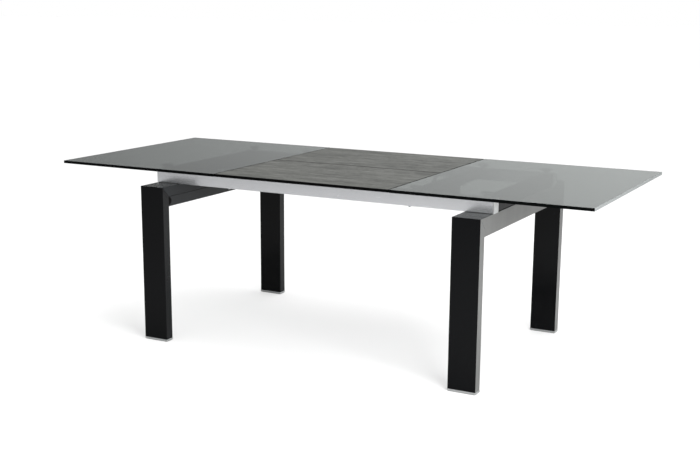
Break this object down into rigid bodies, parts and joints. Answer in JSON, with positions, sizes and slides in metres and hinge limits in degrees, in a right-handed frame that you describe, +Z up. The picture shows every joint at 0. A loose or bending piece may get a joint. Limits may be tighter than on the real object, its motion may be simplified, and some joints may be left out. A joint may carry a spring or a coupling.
{
  "type": "extendable dining table",
  "caption": "Extendable dining table with sliding smoked-glass end tops on aluminium side rails, a folding centre leaf on a swing linkage and mitred black portal legs.",
  "frame": {"origin": "centre of the footprint, on the floor under the foot plates", "axes": "+X along the table's length, +Y to its rear edge, +Z up"},
  "size_m": [2.4, 1, 0.76],
  "materials": {
    "front_leaf_panel": "dark grey stained, fine lengthwise grain, satin lacquer",
    "front_side_rail": "satin anodised",
    "front_swing_frame": "fine brushed",
    "left_end_cross_bar": "satin black",
    "left_front_bar_plug": "matt black",
    "left_front_foot_plate": "satin anodised",
    "left_front_hinge_plate": "fine brushed",
    "left_front_inner_stud": "fine brushed",
    "left_front_leaf_rest": "matt black",
    "left_front_leg": "gloss black front and rear faces, satin grey sides",
    "left_front_outer_stud": "fine brushed",
    "left_front_rail_bolt": "fine brushed",
    "left_front_rail_cap": "satin anodised",
    "left_glass_top": "smoked, polished",
    "left_inner_cross_bar": "satin black",
    "left_leaf_carrier": "satin anodised",
    "left_lower_bar": "gloss black front and rear faces, satin grey sides",
    "left_portal_beam": "gloss black front and rear faces, satin grey sides",
    "left_rear_bar_plug": "matt black",
    "left_rear_foot_plate": "satin anodised",
    "left_rear_hinge_plate": "fine brushed",
    "left_rear_inner_stud": "fine brushed",
    "left_rear_leaf_rest": "matt black",
    "left_rear_leg": "gloss black front and rear faces, satin grey sides",
    "left_rear_outer_stud": "fine brushed",
    "left_rear_rail_bolt": "fine brushed",
    "left_rear_rail_cap": "satin anodised",
    "left_swing_bracket": "satin black",
    "rear_leaf_panel": "dark grey stained, fine lengthwise grain, satin lacquer",
    "rear_side_rail": "satin anodised",
    "rear_swing_frame": "fine brushed",
    "right_end_cross_bar": "satin black",
    "right_front_bar_plug": "matt black",
    "right_front_foot_plate": "satin anodised",
    "right_front_hinge_plate": "fine brushed",
    "right_front_inner_stud": "fine brushed",
    "right_front_leaf_rest": "matt black",
    "right_front_leg": "gloss black front and rear faces, satin grey sides",
    "right_front_outer_stud": "fine brushed",
    "right_front_rail_bolt": "fine brushed",
    "right_front_rail_cap": "satin anodised",
    "right_glass_top": "smoked, polished",
    "right_inner_cross_bar": "satin black",
    "right_leaf_carrier": "satin anodised",
    "right_lower_bar": "gloss black front and rear faces, satin grey sides",
    "right_portal_beam": "gloss black front and rear faces, satin grey sides",
    "right_rear_bar_plug": "matt black",
    "right_rear_foot_plate": "satin anodised",
    "right_rear_hinge_plate": "fine brushed",
    "right_rear_inner_stud": "fine brushed",
    "right_rear_leaf_rest": "matt black",
    "right_rear_leg": "gloss black front and rear faces, satin grey sides",
    "right_rear_outer_stud": "fine brushed",
    "right_rear_rail_bolt": "fine brushed",
    "right_rear_rail_cap": "satin anodised",
    "right_swing_bracket": "satin black"
  },
  "bodies": {
    "base_frame": {"front_side_rail": "front_side_rail", "left_end_cross_bar": "left_end_cross_bar", "left_front_bar_plug": "left_front_bar_plug", "left_front_foot_plate": "left_front_foot_plate", "left_front_leaf_rest": "left_front_leaf_rest", "left_front_leg": "left_front_leg", "left_front_rail_bolt": "left_front_rail_bolt", "left_front_rail_cap": "left_front_rail_cap", "left_inner_cross_bar": "left_inner_cross_bar", "left_lower_bar": "left_lower_bar", "left_portal_beam": "left_portal_beam", "left_rear_bar_plug": "left_rear_bar_plug", "left_rear_foot_plate": "left_rear_foot_plate", "left_rear_leaf_rest": "left_rear_leaf_rest", "left_rear_leg": "left_rear_leg", "left_rear_rail_bolt": "left_rear_rail_bolt", "left_rear_rail_cap": "left_rear_rail_cap", "left_swing_bracket": "left_swing_bracket", "rear_side_rail": "rear_side_rail", "right_end_cross_bar": "right_end_cross_bar", "right_front_bar_plug": "right_front_bar_plug", "right_front_foot_plate": "right_front_foot_plate", "right_front_leaf_rest": "right_front_leaf_rest", "right_front_leg": "right_front_leg", "right_front_rail_bolt": "right_front_rail_bolt", "right_front_rail_cap": "right_front_rail_cap", "right_inner_cross_bar": "right_inner_cross_bar", "right_lower_bar": "right_lower_bar", "right_portal_beam": "right_portal_beam", "right_rear_bar_plug": "right_rear_bar_plug", "right_rear_foot_plate": "right_rear_foot_plate", "right_rear_leaf_rest": "right_rear_leaf_rest", "right_rear_leg": "right_rear_leg", "right_rear_rail_bolt": "right_rear_rail_bolt", "right_rear_rail_cap": "right_rear_rail_cap", "right_swing_bracket": "right_swing_bracket"},
    "left_top": {"left_front_inner_stud": "left_front_inner_stud", "left_front_outer_stud": "left_front_outer_stud", "left_glass_top": "left_glass_top", "left_rear_inner_stud": "left_rear_inner_stud", "left_rear_outer_stud": "left_rear_outer_stud"},
    "right_top": {"right_front_inner_stud": "right_front_inner_stud", "right_front_outer_stud": "right_front_outer_stud", "right_glass_top": "right_glass_top", "right_rear_inner_stud": "right_rear_inner_stud", "right_rear_outer_stud": "right_rear_outer_stud"},
    "front_swing": {"front_swing_frame": "front_swing_frame"},
    "rear_swing": {"rear_swing_frame": "rear_swing_frame"},
    "rear_leaf": {"rear_leaf_panel": "rear_leaf_panel", "left_leaf_carrier": "left_leaf_carrier", "left_rear_hinge_plate": "left_rear_hinge_plate", "right_leaf_carrier": "right_leaf_carrier", "right_rear_hinge_plate": "right_rear_hinge_plate"},
    "front_leaf": {"front_leaf_panel": "front_leaf_panel", "left_front_hinge_plate": "left_front_hinge_plate", "right_front_hinge_plate": "right_front_hinge_plate"}
  },
  "joints": [
    {"name": "left_top_slide", "type": "slide", "parent": "base_frame", "child": "left_top", "axis": [-1, 0, 0], "range_m": [0, 0.02]},
    {"name": "right_top_slide", "type": "slide", "parent": "base_frame", "child": "right_top", "axis": [1, 0, 0], "range_m": [0, 0.02]},
    {"name": "leaf_swing", "type": "hinge", "parent": "base_frame", "child": "front_swing", "pos_m": [0, -0.01615, 0.62884], "axis": [1, 0, 0], "range_deg": [0, 125]},
    {"name": "rear_swing_turn", "type": "hinge", "parent": "base_frame", "child": "rear_swing", "pos_m": [0, 0.17384, 0.62884], "axis": [1, 0, 0], "range_deg": [0, 125]},
    {"name": "rear_leaf_level", "type": "hinge", "parent": "front_swing", "child": "rear_leaf", "pos_m": [0, 0.09, 0.735], "axis": [-1, 0, 0], "range_deg": [0, 125]},
    {"name": "front_leaf_fold", "type": "hinge", "parent": "rear_leaf", "child": "front_leaf", "pos_m": [0, 0, 0.7605], "axis": [-1, 0, 0], "range_deg": [0, 180]}
  ],
  "couplings": [
    {"joint": "rear_swing_turn", "follows": "leaf_swing", "ratio": 1},
    {"joint": "rear_leaf_level", "follows": "leaf_swing", "ratio": 1},
    {"joint": "front_leaf_fold", "follows": "leaf_swing", "ratio": 1.44}
  ]
}
